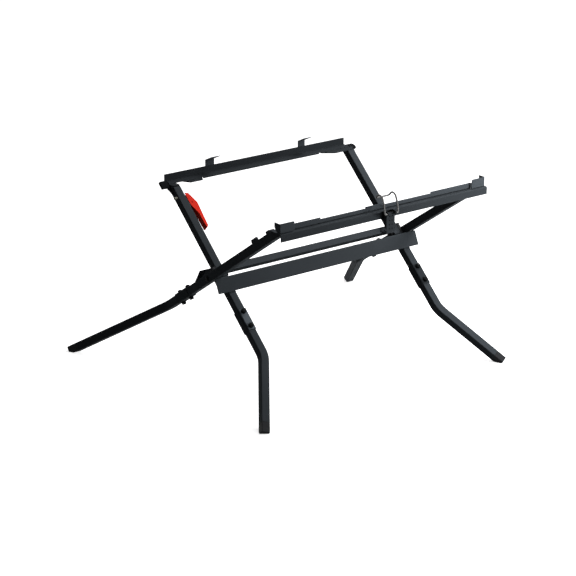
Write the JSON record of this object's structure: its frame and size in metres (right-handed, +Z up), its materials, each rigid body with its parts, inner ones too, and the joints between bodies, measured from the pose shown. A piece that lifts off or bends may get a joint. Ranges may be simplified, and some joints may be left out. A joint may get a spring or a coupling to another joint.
{
  "type": "folding miter saw stand",
  "caption": "Folding stand of two crossed tube frames with splayed legs, angle rails with corner stops and hooks, a front toggle latch and a release lever.",
  "frame": {"origin": "on the floor, under the middle of the pivot line that both frames turn on", "axes": "+X to the right along the rails as seen by a user at the latch, +Y to the rear rail, +Z up"},
  "size_m": [1.108, 0.8884, 0.6094],
  "materials": {
    "powder_coat": "satin black powder coat",
    "black_steel": "black oxide steel",
    "bright_steel": "zinc plated",
    "rubber": "matte moulded",
    "black_plastic": "matte",
    "red_plastic": "semi-gloss"
  },
  "bodies": {
    "outer_frame": {"outer_leg_left": "powder_coat", "outer_leg_right": "powder_coat", "outer_lower_leg_left": "powder_coat", "outer_lower_leg_right": "powder_coat", "outer_foot_left": "rubber", "outer_foot_right": "rubber", "outer_sleeve_left": "powder_coat", "outer_sleeve_right": "powder_coat", "outer_sleeve_bolt_left_upper": "black_steel", "outer_sleeve_bolt_left_lower": "black_steel", "outer_sleeve_bolt_right_upper": "black_steel", "outer_sleeve_bolt_right_lower": "black_steel", "rear_beam": "powder_coat", "front_rail": "powder_coat", "front_saddle": "powder_coat", "corner_stop_left": "powder_coat", "corner_stop_right": "powder_coat", "lock_keeper": "powder_coat", "rest_bumper_left": "rubber", "rest_bumper_right": "rubber", "pivot_bolt_left": "black_steel", "pivot_bolt_right": "black_steel", "latch_bracket": "black_steel", "latch_pin": "bright_steel"},
    "inner_frame": {"inner_leg_left": "powder_coat", "inner_leg_right": "powder_coat", "inner_lower_leg_left": "powder_coat", "inner_lower_leg_right": "powder_coat", "inner_foot_left": "rubber", "inner_foot_right": "rubber", "inner_sleeve_left": "powder_coat", "inner_sleeve_right": "powder_coat", "inner_sleeve_bolt_left_upper": "black_steel", "inner_sleeve_bolt_left_lower": "black_steel", "inner_sleeve_bolt_right_upper": "black_steel", "inner_sleeve_bolt_right_lower": "black_steel", "front_beam": "powder_coat", "rear_rail": "powder_coat", "rear_gusset_left": "powder_coat", "rear_gusset_right": "powder_coat", "rear_hook_left": "powder_coat", "rear_hook_right": "powder_coat", "rest_arm_left": "powder_coat", "rest_arm_right": "powder_coat", "pivot_spacer_left": "black_plastic", "pivot_spacer_right": "black_plastic", "release_bracket": "black_steel", "release_pin": "bright_steel", "lock_spring": "bright_steel"},
    "latch_lever": {"latch_lever": "powder_coat"},
    "wire_bail": {"wire_bail": "bright_steel"},
    "release_lever": {"release_lever": "red_plastic"},
    "lock_pin": {"lock_pin": "bright_steel"}
  },
  "joints": [
    {"name": "fold_hinge", "type": "hinge", "parent": "outer_frame", "child": "inner_frame", "pos_m": [0, 0, 0.3353], "axis": [1, 0, 0], "range_deg": [0, 101]},
    {"name": "latch_hinge", "type": "hinge", "parent": "outer_frame", "child": "latch_lever", "pos_m": [0, -0.3623, 0.5547], "axis": [1, 0, 0], "range_deg": [-105, 0]},
    {"name": "bail_hinge", "type": "hinge", "parent": "latch_lever", "child": "wire_bail", "pos_m": [0, -0.3701, 0.5536], "axis": [1, 0, 0], "range_deg": [0, 105]},
    {"name": "release_hinge", "type": "hinge", "parent": "inner_frame", "child": "release_lever", "pos_m": [-0.30325, 0.17804, 0.50415], "axis": [0, -0.6702, 0.7422], "range_deg": [-9, 0], "stiffness_Nm_per_rad": 0.6},
    {"name": "lock_pin_slide", "type": "slide", "parent": "inner_frame", "child": "lock_pin", "axis": [1, 0, 0], "range_m": [0, 0.0041], "deforming": ["lock_spring"]}
  ],
  "couplings": [
    {"joint": "bail_hinge", "follows": "latch_hinge", "ratio": -1},
    {"joint": "lock_pin_slide", "follows": "release_hinge", "m_per_rad": -0.0258}
  ]
}
